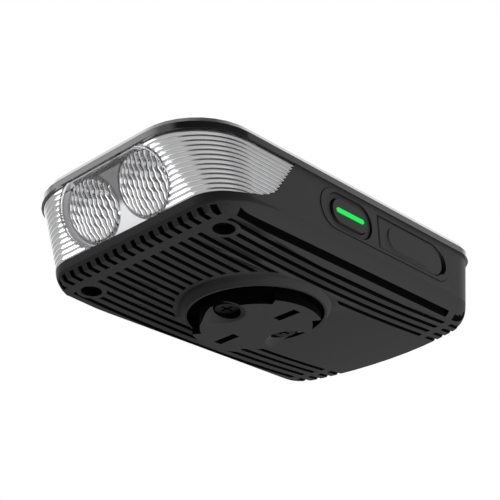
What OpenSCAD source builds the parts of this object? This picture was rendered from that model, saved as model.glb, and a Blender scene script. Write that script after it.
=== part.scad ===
// Compact bicycle headlight with two lamps behind a wrap-around lens,
// a finned underside and a quarter-turn insert that locks into a handlebar mount.
// Frame: origin at the centre of the insert's lower face, +Z up, beam towards -Y,
// button and charging port on the +X side. Millimetres.

/* [Body] */
// Width across the side walls
body_w = 59.2; // [58:0.2:62]
// Front of the chin, ahead of the mount axis
chin_reach = 41.2; // [40.6:0.2:42]
// Centres of the rear corners, behind the mount axis
rear_centre = 41.5; // [41:0.5:46]
// Half width of the chin's flat front, between its round corners
chin_flat = 20.2; // [19:0.1:20.6]
// Angle at which the rear wall leans out
rear_lean = 10; // [6:1:12]
// Height of the crease between the side wall and the bilge
crease_z = 11; // [10.8:0.1:11.2]
// Radius of the bilge along the lower edge
bilge_r = 6.7; // [6.6:0.1:7]
// Lowest point of the underside
underside_z = 4.6; // [4.5:0.05:4.8]
// Radius of the rocker curve along the underside
rocker_r = 550; // [500:10:700]
// How far behind the mount axis the underside is lowest
rocker_y = 8; // [4:1:12]
// Thickness of the housing wall
wall = 2.4; // [2.2:0.1:2.6]
// Height of the parting line under the lens
chin_part_z = 8.7; // [8.5:0.1:8.9]

/* [Top cover] */
// Underside of the top cover's rim
cover_z = 24; // [23.8:0.1:25]
// Thickness of the top cover's rim
cover_t = 2.7; // [2.5:0.1:3.2]
// Thickness of the top cover's plate
cover_plate = 1.7; // [1.4:0.1:1.9]
// How far the top cover stands proud of the side walls
cover_proud = 0.4; // [0.2:0.1:0.8]
// Front of the top cover, ahead of the mount axis
cover_reach = 49.1; // [48.6:0.1:51]
// Half width of the top cover's flat front, between its round corners
cover_flat = 14.2; // [13:0.1:15]
// Height of the bevel round the top edge
bevel_h = 1.1; // [0.5:0.1:1.3]
// Width of the bevel round the top edge
bevel_w = 0.5; // [0.2:0.1:0.8]
// Depth of the skirt that locates the top cover
skirt_h = 1.8; // [1.2:0.1:1.9]
// Thickness of the skirt that locates the top cover
skirt_t = 1.2; // [1:0.1:1.5]

/* [Lens] */
// Front of the lens at its top edge
lens_reach = 48.5; // [47.5:0.1:48.6]
// Half width of the lens's flat front at its top edge, between its round corners
lens_flat = 14.3; // [13:0.1:15]
// Lower edge of the lens
lens_z = 10.5; // [10.3:0.1:10.7]
// Thickness of the lens
lens_t = 2; // [1.6:0.1:2.2]
// Where the lens ends along the side, at its top edge
lens_end_top = -18.2; // [-20:0.2:-17]
// Where the lens ends along the side, at the foot of its slanted end
lens_end_mid = -24.8; // [-26:0.2:-24]
// Where the lens starts to rise along the side, at its lower edge
lens_end_low = -36; // [-38:0.5:-34]
// How far the lower edge has risen at the foot of the slanted end
lens_rise = 4.1; // [3:0.1:5]
// Thickness of the bezel behind the lens
bezel_t = 1.2; // [1:0.1:1.4]

/* [Optics] */
// Spacing of the two optics
optic_pitch = 16.8; // [16.4:0.1:17.4]
// Diameter of an optic
optic_d = 15.3; // [14:0.1:15.6]
// Height of the dome on an optic
optic_dome = 1.8; // [1.4:0.1:2]
// Thickness of an optic's rim
optic_rim = 0.8; // [0.6:0.1:1]
// Side of a light-emitting chip
led_side = 3.4; // [2.5:0.1:3.8]
// Height of a light-emitting chip
led_h = 0.7; // [0.5:0.1:0.8]
// Front face of the lamp board, ahead of the mount axis
lamp_reach = 35.2; // [35:0.1:35.6]
// Thickness of the lamp board
lamp_board_t = 1.2; // [1:0.1:1.6]
// Thickness of the heat bracket
bracket_t = 2; // [1.5:0.1:2.4]

/* [Grooves] */
// Spacing of the cooling grooves
groove_pitch = 2.9; // [2.8:0.05:2.95]
// Width of a cooling groove
groove_w = 1.3; // [1:0.05:1.5]
// Depth of a cooling groove
groove_depth = 1.2; // [0.8:0.1:1.3]
// Metal left under a groove
groove_skin = 1.2; // [1:0.1:1.4]
// Number of grooves
groove_count = 20; // [16:2:20]
// Width of the plain ribs that cross the grooves
cross_rib = 2.4; // [1.8:0.1:2.8]
// Rear edge of the front row of grooves
front_row_y = -37; // [-37.4:0.1:-36.8]
// Distance from the rear wall to the rear cross rib
rear_margin = 8.5; // [7:0.5:10]
// Radius of the plain land round the mount
mount_land_r = 19.4; // [19:0.1:20.5]

/* [Mount] */
// Radius across the ears of the quarter-turn insert
ear_r = 15.4; // [15:0.1:15.6]
// Radius of the insert's body between the ears
insert_r = 13.2; // [13:0.1:13.6]
// Thickness of the ears
ear_t = 1.8; // [1.5:0.1:2]
// Angle that each ear spans
ear_span = 62; // [50:1:70]
// Inner radius of the collar
collar_r = 16.2; // [15.9:0.1:16.6]
// Width of the collar
collar_w = 1.7; // [1.4:0.1:2]
// Lower rim of the collar
collar_z = 3; // [2.8:0.1:3.4]
// Seat of the insert inside the collar
mount_seat_z = 5.6; // [5.4:0.1:5.7]
// Distance of the mount screws from the axis
mount_screw_r = 9.8; // [9.5:0.1:10]
// Diameter of a mount screw's head
mount_head_d = 5.6; // [5:0.1:5.8]
// Diameter of a mount screw's shank
mount_shank_d = 2.9; // [2.5:0.1:3]

/* [Housing screws] */
// Distance of the housing screws from the side walls
screw_inset = 8.4; // [8.2:0.1:8.8]
// Lengthwise place of the housing screws
screw_y = -32.4; // [-32.8:0.1:-32.2]
// Diameter of the holes for the housing screws' heads
screw_hole_d = 4.9; // [4.6:0.1:5.1]
// Diameter of a housing screw's head
screw_head_d = 4.2; // [3.8:0.1:4.4]
// Diameter of a housing screw's shank
screw_shank_d = 2.2; // [2:0.1:2.5]
// Diameter of the posts that take the housing screws
post_d = 6.2; // [5.6:0.1:6.4]

/* [Controls] */
// Front end of the rubber control strip
strip_front = -10.2; // [-11:0.1:-9.8]
// Rear end of the rubber control strip
strip_rear = 38.4; // [38:0.1:39]
// Height of the control strip's centre line
strip_z = 17.9; // [17.7:0.1:18]
// Height of the control strip
strip_h = 10.4; // [10.2:0.1:10.6]
// Depth of the pocket for the control strip
strip_t = 1.5; // [1.4:0.1:1.6]
// How far the control strip stands proud of the side wall
strip_proud = 0.15; // [0.1:0.05:0.3]
// Length of the power button
button_l = 12.4; // [11.6:0.1:12.8]
// Height of the power button
button_h = 6; // [5.6:0.1:6.2]
// Travel of the power button
button_travel = 0.5; // [0.3:0.05:0.6]
// Length of the light bar in the button
bar_l = 9.6; // [8.8:0.1:10]
// Height of the light bar in the button
bar_h = 1.1; // [0.9:0.1:1.4]
// Hinge axis of the port flap, along the body
hinge_y = 11.2; // [11:0.1:11.6]
// Rear end of the port flap
flap_rear = 35.4; // [35.2:0.1:35.6]
// Height of the port flap
flap_h = 8; // [7.8:0.1:8.2]
// Radius of the flap's hinge bead, half the flap's thickness
bead_r = 0.65; // [0.55:0.05:0.68]
// Centre of the charging socket, along the body
usb_y = 23.5; // [23:0.1:24]

/* [Inside] */
// Underside of the driver board
driver_z = 9.4; // [9.3:0.1:9.5]
// Thickness of the driver and control boards
board_t = 1.2; // [1:0.1:1.3]
// Inner face of the control board, below the outside of the side wall
control_depth = 11.3; // [11.2:0.1:11.6]
// Length of a battery cell
cell_l = 58; // [52:1:58]
// Thickness of a battery cell
cell_t = 4.8; // [4:0.1:5]
// Underside of the battery tray
tray_z = 12.8; // [12.7:0.1:13]
// Thickness of the battery tray
tray_t = 1; // [0.8:0.1:1.1]

/* [Clearances] */
// Gap between fixed pieces that are pushed together
fit_gap = 0.1; // [0.06:0.01:0.14]
// Gap round the power button and the port flap
moving_gap = 0.25; // [0.2:0.01:0.3]
// Radial clearance of the switch stem in its bore
stem_gap = 0.07; // [0.04:0.01:0.1]

/* [Hidden] */
$fn = 96;

// A cut reaches this far past the face that it opens
past = 1;
// Wider than the whole object, for half spaces
far = 150;

// Body levels
half_w = body_w / 2;
chin_corner_r = half_w - chin_flat;
lens_corner_r = half_w - lens_flat;
cover_corner_r = half_w + cover_proud - cover_flat;
top_z = cover_z + cover_t;
ceiling_z = top_z - cover_plate;
low_inset = groove_depth + groove_skin;
cover_rear_centre = round(100 * (rear_centre + (top_z - crease_z) * tan(rear_lean))) / 100;
// The bowed rear wall runs into its round corners along lines of this direction,
// on which the centres of the bow and of a corner are this far apart
bow_dir = [0.28, 0.96];
bow_arm = 73;
bow_corner = bow_arm * bow_dir;
// The pocket under the top cover keeps inside its skirt
pocket_inset = wall + fit_gap + skirt_t;
// The lower cover's cavity keeps this far inside the outline
cavity_inset = 4.4;
// The leaning part of the walls is drawn in by a hair where it starts
lean_step = 0.02;
// The tilted rear half of the walls starts here, on the straight part of the side
rear_half_y = 20;
// The parting line climbs from the chin to the crease between these two places
part_front_y = -36;
part_rear_y = -20;

// Rake of the lens face, and the point at its middle
lens_rake = atan((lens_reach - chin_reach) / (cover_z - lens_z));
lens_mid_y = -(lens_reach + chin_reach) / 2;
lens_mid_z = (cover_z + lens_z) / 2;

// Shelf under the lens, and what stands behind the lens
shelf_w = 6;
shelf_rear_y = -22;
lens_gap = 0.3;
optic_front = lens_t + lens_gap;
optic_r = optic_d / 2;
optic_mouth_r = 6.2;
optic_throat_r = 3.5;
optic_foot_h = 0.9;
bracket_w = 29;
bracket_foot = 9;
bracket_foot_t = 1.8;
bracket_pad_z = 9;
flex_w = 6;
flex_t = 0.2;
flex_slot = 9;
bracket_y = -lamp_reach + lamp_board_t;
lamp_top_z = ceiling_z - 1.4;

// Mount and housing screws
mount_head_h = 1.7;
mount_head_z = 3.4;
insert_hole_gap = 0.05;
threaded_insert_r = 2.1;
threaded_insert_l = 3.2;
boss_z = 9.2;
boss_wall = 1.3;
screw_x = half_w - screw_inset;
screw_seat_z = 9.6;
screw_head_h = 1.7;
screw_boss_z = 11;
screw_tip_z = 17;
cross_w = 0.7;
cross_depth = 0.9;

// Control stack on the +X side, from the outside inwards
pad_t = 1.8;
pad_x = half_w - wall - pad_t;
pad_margin = 1.6;
pocket_x = half_w - strip_t;
control_x = half_w - control_depth;
board_face = control_x + board_t;
header_w = 2.8;
header_lead = 3;
header_l = 12;
status_led = [0.8, 1.6, 1.2];
status_gap = 0.4;
switch_side = 6.2;
switch_front = board_face + 3.4;
flange_t = 0.8;
flange_rim = 0.8;
flange_back = pad_x - fit_gap - flange_t;
stem_r = 1.6;
stem_back = switch_front - 1;
stem_bore_back = stem_back - button_travel - 0.2;
button_face = half_w + 0.3;
dish_rim = 1.5;
dish_depth = 0.5;
hinge_x = pocket_x + 0.2 + bead_r;
hinge_room = 1;
flap_pad_t = 0.25;
plug_depth = 1.4;
nail_h = 6.4;
usb_w = 9;
usb_h = 3.3;
usb_wall = 0.35;
usb_mouth = pad_x + 1.2;
usb_back = board_face + 1.5;

// Battery, between the far wall and the control board
cell_margin = 5.4;
cell_side = 4.5;
cell_x = cell_margin - half_w;
cell_w = control_x - cell_side - cell_x;
cell_end = 3;
battery_board_ends = [4, 8];
battery_board_rise = 2;
cell_y = -17;
cell_z = tray_z + tray_t + fit_gap;
upper_cell_z = cell_z + cell_t + fit_gap;
battery_pad_z = upper_cell_z + cell_t + fit_gap;
tray_wall_h = 6;
board_top = driver_z + board_t;

// Driver board and what stands on it
driver_margin = 5.1;
driver_lip = 1.5;
driver_x = [driver_margin - half_w, board_face + driver_lip];
driver_y = [-21, rear_centre + driver_lip];
chip_at = [-12, 4];
chip_side = 7;
chip_h = 1;
inductor_at = [1, -10];
inductor_side = 7;
standoff_r = 2;
standoff_side = 3.5;
standoff_end = 5;
standoff_x = [driver_x[0] + standoff_side, driver_x[1] - 2 * standoff_side];
standoff_y = [driver_y[0] + standoff_end, driver_y[1] - standoff_end];

// Seal under the parting surface
seal_inset = 1.1;
seal_w = 0.8;
seal_h = 0.5;
seal_land = 0.25;

// Grip in the rear wall, and the hooks inside it
grip_margin = 2.6;
grip_w = 2 * (half_w - grip_margin);
grip_z = [12.4, 18];
grip_depth = 0.7;
hook_x = 12.5;
hook_w = 3;
hook_t = 1.3;
hook_nose = 1.1;
hook_z = 13;
hook_top = 14.2;
hook_y = rear_wall(hook_x + hook_w / 2) - wall - 2 * fit_gap;

// Y of the rear wall at a sideways place
function rear_wall(x) =
    let (corner_r = half_w - bow_corner[0], bow_r = corner_r + bow_arm)
    abs(x) < bow_corner[0] + corner_r * bow_dir[0]
        ? rear_centre - bow_corner[1] + sqrt(bow_r * bow_r - x * x)
        : rear_centre + sqrt(pow(corner_r, 2) - pow(abs(x) - bow_corner[0], 2));

// Points on an arc, without its last one
function arc(centre, r, from, to, steps) =
    [for (i = [0 : steps - 1]) let (a = from + (to - from) * i / steps) centre + r * [cos(a), sin(a)]];

// Points at a height round a plan with four rounded corners and a bowed rear, drawn in by the inset
function plan(half, front, front_r, rear_c, inset, z) =
    let (
        corner_r = half - bow_corner[0] - inset,
        meet = atan2(bow_dir[1], bow_dir[0]),
        side_x = half - front_r,
        front_c = front_r - front,
        points = concat(
            arc([bow_corner[0], rear_c], corner_r, 0, meet, 7),
            arc([0, rear_c - bow_corner[1]], corner_r + bow_arm, meet, 180 - meet, 8),
            arc([-bow_corner[0], rear_c], corner_r, 180 - meet, 180, 7),
            [[inset - half, rear_c]],
            arc([-side_x, front_c], front_r - inset, 180, 270, 9),
            [[-side_x, inset - front]],
            arc([side_x, front_c], front_r - inset, 270, 360, 9),
            [[half - inset, front_c]]
        )
    )
    [for (p = points) [p[0], p[1], z]];

// Front reach and corner radius of the lens at a height
function lens_share(z) = (z - lens_z) / (cover_z - lens_z);
function lens_front(z) = chin_reach + (lens_reach - chin_reach) * lens_share(z);
function lens_corner(z) = chin_corner_r + (lens_corner_r - chin_corner_r) * lens_share(z);

// Lens outline at a height, from the +X side round the front to the -X side
function lens_ring(z, inset, steps = 12) =
    let (front = lens_front(z), r = lens_corner(z))
    concat(
        [[half_w - inset, 0, z]],
        [for (i = [0 : steps]) let (a = -90 * i / steps)
            [half_w - r + (r - inset) * cos(a), -front + r + (r - inset) * sin(a), z]],
        [for (i = [0 : steps]) let (a = -90 - 90 * i / steps)
            [-half_w + r + (r - inset) * cos(a), -front + r + (r - inset) * sin(a), z]],
        [[-half_w + inset, 0, z]]
    );

// Side view of the lens: a low front edge, a short rise and a slanted end
function lens_side(gap) =
    let (
        low = [lens_end_low, lens_z + gap],
        foot = [lens_end_mid - gap, lens_z + lens_rise],
        bend = [(low[0] + 2 * foot[0]) / 3, low[1] + lens_rise / 4]
    )
    concat(
        [[-far, cover_z - gap], [-far, lens_z + gap]],
        [for (i = [0 : 6]) let (t = i / 6)
            pow(1 - t, 2) * low + 2 * t * (1 - t) * bend + t * t * foot],
        [[lens_end_top - gap, cover_z - gap]]
    );

// Places a drawing of the Y-Z plane and gives it a width across X
module across(width) {
    translate([-width / 2, 0, 0]) rotate([90, 0, 90]) linear_extrude(width) children();
}

// Places a drawing of the X-Z plane, seen from the front, and gives it a length along Y
module along(length) {
    rotate([90, 0, 180]) mirror([1, 0, 0]) linear_extrude(length) children();
}

// Slot shape with round ends along the first axis
module slot_shape(length, height) {
    translate([-(length - height) / 2, -height / 2]) square([length - height, height]);
    for (s = [-1, 1]) {
        translate([s * (length - height) / 2, 0]) circle(height / 2);
    }
}

// Slot shape on the +X side, centred at a place along Y, from one depth to another
module side_slot(y, z, length, height, from_x, to_x) {
    translate([from_x, y, z]) rotate([90, 0, 90]) linear_extrude(to_x - from_x) slot_shape(length, height);
}

// Box between two corners
module block(low, high) {
    translate(low) cube(high - low);
}

// Sector of the plan that the rear bow takes up
module bow_sector(rear_c) {
    centre = [0, rear_c - bow_corner[1]];
    polygon([
        centre, centre + far * bow_dir, centre + far * [-bow_dir[0], bow_dir[1]]
    ]);
}

// Sector of the plan that the rear corner on the +X side takes up
module corner_sector(rear_c) {
    centre = [bow_corner[0], rear_c];
    polygon([
        centre, centre + [far, 0], centre + [far, far], centre + far * bow_dir
    ]);
}

// Section of the lower body, rounded by the bilge
module bilge_section(inset) {
    translate([0, crease_z])
        intersection() {
            union() {
                translate([$wall_r - bilge_r, 0]) circle(bilge_r - inset);
                translate([0, -bilge_r + inset]) square([$wall_r - bilge_r, bilge_r - inset]);
            }
            translate([0, -bilge_r]) square([$wall_r, bilge_r]);
        }
}

// Big cylinder whose lowest line is the rocker curve along the underside
module rocker(inset) {
    translate([-far, rocker_y, underside_z + rocker_r])
        rotate([0, 90, 0]) cylinder(r = rocker_r - inset, h = 2 * far, $fn = 720);
}

// Solid between rings of points that lie one below the other
module stacked(levels) {
    n = len(levels[0]);
    last = len(levels) - 1;
    polyhedron(
        points = [for (level = levels) each level],
        faces = concat(
            [[for (i = [0 : n - 1]) n - 1 - i]],
            [[for (i = [0 : n - 1]) last * n + i]],
            [for (k = [0 : last - 1], i = [0 : n - 1]) let (j = (i + 1) % n)
                [k * n + i, k * n + j, k * n + n + j]],
            [for (k = [0 : last - 1], i = [0 : n - 1]) let (j = (i + 1) % n)
                [k * n + i, k * n + n + j, k * n + n + i]]
        )
    );
}

// Lower body up to the crease: the plan is drawn in level by level down the bilge
module tub() {
    steps = 7;
    drop = 78;
    intersection() {
        stacked([for (i = [0 : steps]) let (a = drop * i / steps)
            plan(
                half_w, chin_reach, chin_corner_r, rear_centre,
                bilge_r * (1 - cos(a)), crease_z - bilge_r * sin(a)
            )]);
        rocker(0);
    }
}

// Front half of the lower body with its two rounded corners, drawn in by the inset
module chin_body(inset) {
    translate([0, -chin_reach + chin_corner_r, 0]) {
        along(chin_reach - chin_corner_r) {
            $wall_r = half_w;
            bilge_section(inset);
            mirror([1, 0]) bilge_section(inset);
        }
        $wall_r = chin_corner_r;
        across(2 * (half_w - chin_corner_r)) mirror([1, 0]) bilge_section(inset);
        for (s = [0, 1]) {
            mirror([s, 0, 0]) translate([half_w - chin_corner_r, 0, 0])
                rotate(-90) rotate_extrude(angle = 90) bilge_section(inset);
        }
    }
}

// Outline of the body seen from above, drawn in by the inset
module outline(inset) {
    side = half_w - inset;
    corner_r = half_w - bow_corner[0] - inset;
    translate([-side, -chin_reach + chin_corner_r])
        square([2 * side, chin_reach - chin_corner_r + rear_centre]);
    translate([-half_w + chin_corner_r, -chin_reach + inset])
        square([2 * (half_w - chin_corner_r), chin_corner_r]);
    for (s = [0, 1]) {
        mirror([s, 0]) {
            translate([half_w - chin_corner_r, -chin_reach + chin_corner_r]) circle(chin_corner_r - inset);
            intersection() {
                translate([bow_corner[0], rear_centre]) circle(corner_r);
                corner_sector(rear_centre);
            }
        }
    }
    intersection() {
        translate([0, rear_centre - bow_corner[1]]) circle(corner_r + bow_arm);
        bow_sector(rear_centre);
    }
}

// Upright walls above the crease, drawn in by the inset; the rear leans out
module walls(inset, low, high) {
    intersection() {
        translate([0, 0, low]) linear_extrude(high - low) outline(inset);
        block([-far, -far, low - past], [far, rear_half_y, high + past]);
    }
    intersection() {
        translate([0, rear_centre, crease_z])
            rotate([-rear_lean, 0, 0])
            translate([0, -rear_centre, low - crease_z - 4 * past])
            linear_extrude(high - low + 8 * past) outline(inset + lean_step);
        block([-far, rear_half_y, low], [far, far, high]);
    }
}

// Everything under the parting surface, lowered by the drop
module below_parting(drop = 0) {
    across(2 * far)
        polygon([
            [-far, -past], [far, -past], [far, crease_z - drop], [part_rear_y, crease_z - drop],
            [part_front_y, chin_part_z - drop], [-far, chin_part_z - drop]
        ]);
}

// Wedge between the parting surface and the crease, at the front
module chin_space() {
    across(2 * far)
        polygon([
            [-far, chin_part_z], [part_front_y, chin_part_z],
            [part_rear_y, crease_z], [-far, crease_z]
        ]);
}

// The two places of the housing screws
module at_housing_screws() {
    for (s = [-1, 1]) {
        translate([s * screw_x, screw_y, 0]) children();
    }
}

// The two places of the mount screws
module at_mount_screws() {
    for (s = [-1, 1]) {
        translate([0, s * mount_screw_r, 0]) children();
    }
}

// Cross recess in a screw head that faces down, cut up from z = 0
module cross_recess(span) {
    for (a = [0, 90]) {
        rotate(a) block([-span / 2, -cross_w / 2, -past], [span / 2, cross_w / 2, cross_depth]);
    }
}

// Space taken by the lens and what is behind it, seen from the side
module lens_space(gap) {
    across(2 * far) polygon(lens_side(gap));
}

// Solid inside the raked lens face, between two heights
module lens_loft(inset, low, high) {
    ring_low = lens_ring(low, inset);
    ring_high = lens_ring(high, inset);
    n = len(ring_low);
    polyhedron(
        points = concat(ring_low, ring_high),
        faces = concat(
            [[for (i = [0 : n - 1]) n - 1 - i]],
            [[for (i = [0 : n - 1]) n + i]],
            [for (i = [0 : n - 1]) let (j = (i + 1) % n) [i, j, n + j]],
            [for (i = [0 : n - 1]) let (j = (i + 1) % n) [i, n + j, n + i]]
        )
    );
}

// Puts a shape on the lens face: local z runs inwards, square to the face
module on_lens_face(x, depth) {
    translate([x, lens_mid_y, lens_mid_z])
        rotate([lens_rake - 90, 0, 0])
        translate([0, 0, depth])
        children();
}

module top_cover() color("#0b0b0d") {
    difference() {
        union() {
            stacked([for (level = [[top_z, bevel_w], [top_z - bevel_h, 0], [cover_z, 0]])
                plan(
                    half_w + cover_proud, cover_reach, cover_corner_r, cover_rear_centre,
                    level[1], level[0]
                )]);
            intersection() {
                walls(wall + fit_gap, cover_z - skirt_h, cover_z + past / 2);
                block([-far, lens_end_top + wall, 0], [far, far, far]);
            }
        }
        translate([0, 0, cover_z - skirt_h - past])
            linear_extrude(ceiling_z - cover_z + skirt_h + past) outline(pocket_inset);
        block(
            [-optic_pitch / 2 - optic_r - lens_gap, -lens_reach + wall / 2, cover_z - past],
            [optic_pitch / 2 + optic_r + lens_gap, 0, ceiling_z]
        );
    }
    difference() {
        at_housing_screws() translate([0, 0, screw_boss_z])
            cylinder(d = post_d, h = ceiling_z + past / 2 - screw_boss_z);
        at_housing_screws() translate([0, 0, screw_boss_z - past])
            cylinder(d = screw_shank_d + fit_gap, h = screw_tip_z + 2 * past - screw_boss_z);
    }
}

module main_housing() color("#2b2b2d") {
    difference() {
        union() {
            difference() {
                walls(0, crease_z, cover_z);
                walls(wall, crease_z - past, cover_z + past);
            }
            // Chin between the parting line and the crease, with the shelf for the lens
            difference() {
                intersection() {
                    chin_body(0);
                    chin_space();
                }
                linear_extrude(crease_z + past) outline(shelf_w);
                block(
                    [-half_w + wall, shelf_rear_y - past, chin_part_z - past],
                    [half_w - wall, part_rear_y + past, crease_z + past]
                );
                translate([0, 0, lens_z]) linear_extrude(past)
                    square([2 * (half_w - wall), far], center = true);
            }
            // Thick part of the side wall behind the control strip
            block(
                [pad_x, strip_front - pad_margin, crease_z + pad_margin / 2],
                [half_w - wall / 2, strip_rear + pad_margin, cover_z - skirt_h - 2 * fit_gap]
            );
        }
        lens_space(0);
        at_housing_screws() cylinder(d = post_d + 1.2, h = lens_z + past);
        side_slot(
            (strip_front + strip_rear) / 2, strip_z, strip_rear - strip_front, strip_h,
            pocket_x, half_w + past
        );
        side_slot(
            0, strip_z, button_l + 2 * moving_gap, button_h + 2 * moving_gap,
            pad_x - past, half_w + past
        );
        side_slot(
            usb_y, strip_z, usb_w + 2 * moving_gap, usb_h + 2 * moving_gap,
            pad_x - past, half_w + past
        );
        // Shallow grip across the rear wall
        difference() {
            block([-grip_w / 2, rear_centre, grip_z[0]], [grip_w / 2, far, grip_z[1]]);
            walls(grip_depth, grip_z[0] - past, grip_z[1] + past);
        }
        // Catches for the rear hooks
        for (s = [-1, 1]) {
            translate([s * hook_x, 0, 0])
                block(
                    [-hook_w / 2 - fit_gap, hook_y - past, hook_z - fit_gap],
                    [hook_w / 2 + fit_gap, hook_y + hook_nose + fit_gap, hook_top + fit_gap]
                );
        }
    }
}

// Sideways places of the grooves, as many as the underside has room for
groove_places = [
    for (k = [0 : groove_count - 1])
        let (x = (k - (groove_count - 1) / 2) * groove_pitch)
        if (abs(x) < half_w - groove_w) x
];

// Body of the underside that the grooves don't reach into
module groove_core() {
    intersection() {
        union() {
            chin_body(groove_depth);
            translate([0, -past, 0]) {
                $wall_r = half_w;
                along(far) {
                    bilge_section(groove_depth);
                    mirror([1, 0]) bilge_section(groove_depth);
                }
            }
        }
        rocker(groove_depth);
    }
}

// Long grooves that run back from the front cross rib
module long_grooves() {
    for (x = groove_places) {
        block(
            [x - groove_w / 2, front_row_y + cross_rib, 0],
            [x + groove_w / 2, rear_wall(x) - rear_margin, crease_z - past]
        );
    }
}

// Short grooves over the front edge, kept clear of the seal
module front_grooves() {
    for (x = groove_places) {
        block(
            [x - groove_w / 2, -far, 0],
            [x + groove_w / 2, front_row_y, chin_part_z - seal_h - seal_land]
        );
    }
}

// Short grooves over the rear edge
module rear_grooves() {
    difference() {
        for (x = groove_places) {
            block(
                [x - groove_w / 2, rear_wall(x) - rear_margin + cross_rib, 0],
                [x + groove_w / 2, far, chin_part_z]
            );
        }
        intersection() {
            translate([0, rear_centre - bow_corner[1], 0]) {
                $wall_r = half_w - bow_corner[0] + bow_arm;
                rotate_extrude() bilge_section(groove_depth);
            }
            rocker(groove_depth);
        }
    }
}

// Plain areas of the underside that the grooves leave out
module plain_lands() {
    land_w = 2 * (floor(mount_land_r / groove_pitch - 0.5) * groove_pitch - groove_pitch / 2) + groove_w;
    panel_w = land_w - 2 * groove_pitch;
    intersection() {
        cylinder(r = mount_land_r, h = crease_z);
        block([-land_w / 2 - groove_w, -far, 0], [land_w / 2 + groove_w, far, far]);
    }
    block([-panel_w / 2, 0, 0], [panel_w / 2, far, crease_z]);
    at_housing_screws() cylinder(d = screw_hole_d + 2.2, h = crease_z);
}

module bottom_cover() color("#3a3a3c") {
    difference() {
        union() {
            difference() {
                intersection() {
                    tub();
                    below_parting();
                }
                intersection() {
                    linear_extrude(crease_z + past) outline(cavity_inset);
                    rocker(low_inset);
                }
                difference() {
                    union() {
                        front_grooves();
                        long_grooves();
                    }
                    groove_core();
                    plain_lands();
                }
                difference() {
                    rear_grooves();
                    plain_lands();
                }
            }
            // Collar round the mount
            rotate_extrude()
                polygon([
                    [collar_r - past, mount_seat_z + past / 2], [collar_r - past, collar_z],
                    [collar_r + collar_w / 3, collar_z], [collar_r + collar_w, underside_z - 0.2],
                    [collar_r + collar_w, mount_seat_z + past / 2]
                ]);
            at_mount_screws() translate([0, 0, mount_seat_z])
                cylinder(r = threaded_insert_r + boss_wall, h = boss_z - mount_seat_z);
            at_housing_screws() translate([0, 0, chin_part_z - 1.5])
                cylinder(d = post_d + 0.8, h = screw_boss_z - chin_part_z + 1.5);
            // Standoffs for the driver board and the pad for the heat bracket
            for (x = standoff_x, y = standoff_y) {
                translate([x, y, underside_z + low_inset - 0.4])
                    cylinder(r = standoff_r, h = driver_z - underside_z - low_inset + 0.4);
            }
            block(
                [-bracket_w / 2, bracket_y, underside_z + low_inset],
                [bracket_w / 2, bracket_y + bracket_t + bracket_foot, bracket_pad_z]
            );
            // Rear hooks
            for (s = [-1, 1]) {
                translate([s * hook_x, hook_y, 0]) {
                    block([-hook_w / 2, -hook_t, underside_z + low_inset + 1], [hook_w / 2, 0, hook_top]);
                    block([-hook_w / 2, -past, hook_z], [hook_w / 2, hook_nose, hook_top]);
                }
            }
        }
        cylinder(r = collar_r, h = 2 * (mount_seat_z - past), center = true);
        cylinder(r = collar_r, h = mount_seat_z);
        at_mount_screws() cylinder(r = threaded_insert_r + insert_hole_gap, h = boss_z + past);
        at_housing_screws() {
            cylinder(d = screw_hole_d, h = screw_seat_z);
            cylinder(d = screw_shank_d + 2 * fit_gap, h = screw_boss_z + past);
        }
        seal_ring(seal_inset - fit_gap / 2, seal_w + fit_gap, seal_h + fit_gap / 2);
    }
}

// Ring of soft seal under the parting surface
module seal_ring(inset, width, height) {
    difference() {
        intersection() {
            linear_extrude(crease_z + past) difference() {
                outline(inset);
                outline(inset + width);
            }
            below_parting();
        }
        below_parting(height);
    }
}

module cover_seal() color("#1a1a1a") seal_ring(seal_inset, seal_w, seal_h);

module front_lens() color("#dfe6ea", 0.35) {
    intersection() {
        difference() {
            lens_loft(0, lens_z, cover_z);
            lens_loft(lens_t, lens_z - past, cover_z + past);
        }
        lens_space(fit_gap / 2);
    }
}

module lens_bezel() color("#b9bcc0") {
    difference() {
        intersection() {
            difference() {
                lens_loft(lens_t + lens_gap, lens_z, cover_z);
                lens_loft(lens_t + lens_gap + bezel_t, lens_z - past, cover_z + past);
            }
            lens_space(fit_gap);
        }
        for (s = [-1, 1]) {
            on_lens_face(s * optic_pitch / 2, -past) cylinder(d = optic_d + 2 * lens_gap, h = far / 10);
        }
    }
}

// Domed front in the plane of the lens, with a collimating cone straight back to the lamp
module optic(x) color("#eef3f6", 0.5) {
    dome_r = (optic_r * optic_r + optic_dome * optic_dome) / (2 * optic_dome);
    difference() {
        union() {
            on_lens_face(x, optic_front) {
                intersection() {
                    translate([0, 0, dome_r]) sphere(dome_r);
                    cylinder(r = optic_r, h = optic_dome);
                }
                translate([0, 0, optic_dome]) cylinder(r = optic_r, h = optic_rim);
            }
            intersection() {
                translate([x, lens_mid_y, lens_mid_z]) rotate([-90, 0, 0])
                    cylinder(
                        r1 = optic_mouth_r + 1, r2 = optic_throat_r,
                        h = -lamp_reach - optic_foot_h - lens_mid_y
                    );
                on_lens_face(x, optic_front + optic_dome) cylinder(r = optic_mouth_r, h = far);
            }
            translate([x, -lamp_reach - 2 * optic_foot_h, lens_mid_z]) rotate([-90, 0, 0])
                cylinder(r = optic_throat_r, h = 2 * optic_foot_h);
        }
        translate([x, -lamp_reach - optic_foot_h, lens_mid_z]) rotate([-90, 0, 0])
            cylinder(r = optic_throat_r - 0.7, h = optic_foot_h + past);
        block([-far, -far, ceiling_z - fit_gap], [far, far, far]);
    }
}

module optic_left() optic(-optic_pitch / 2);

module optic_right() optic(optic_pitch / 2);

module led(x) color("#f2d65a") {
    block(
        [x - led_side / 2, -lamp_reach - led_h, lens_mid_z - led_side / 2],
        [x + led_side / 2, -lamp_reach, lens_mid_z + led_side / 2]
    );
}

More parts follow.
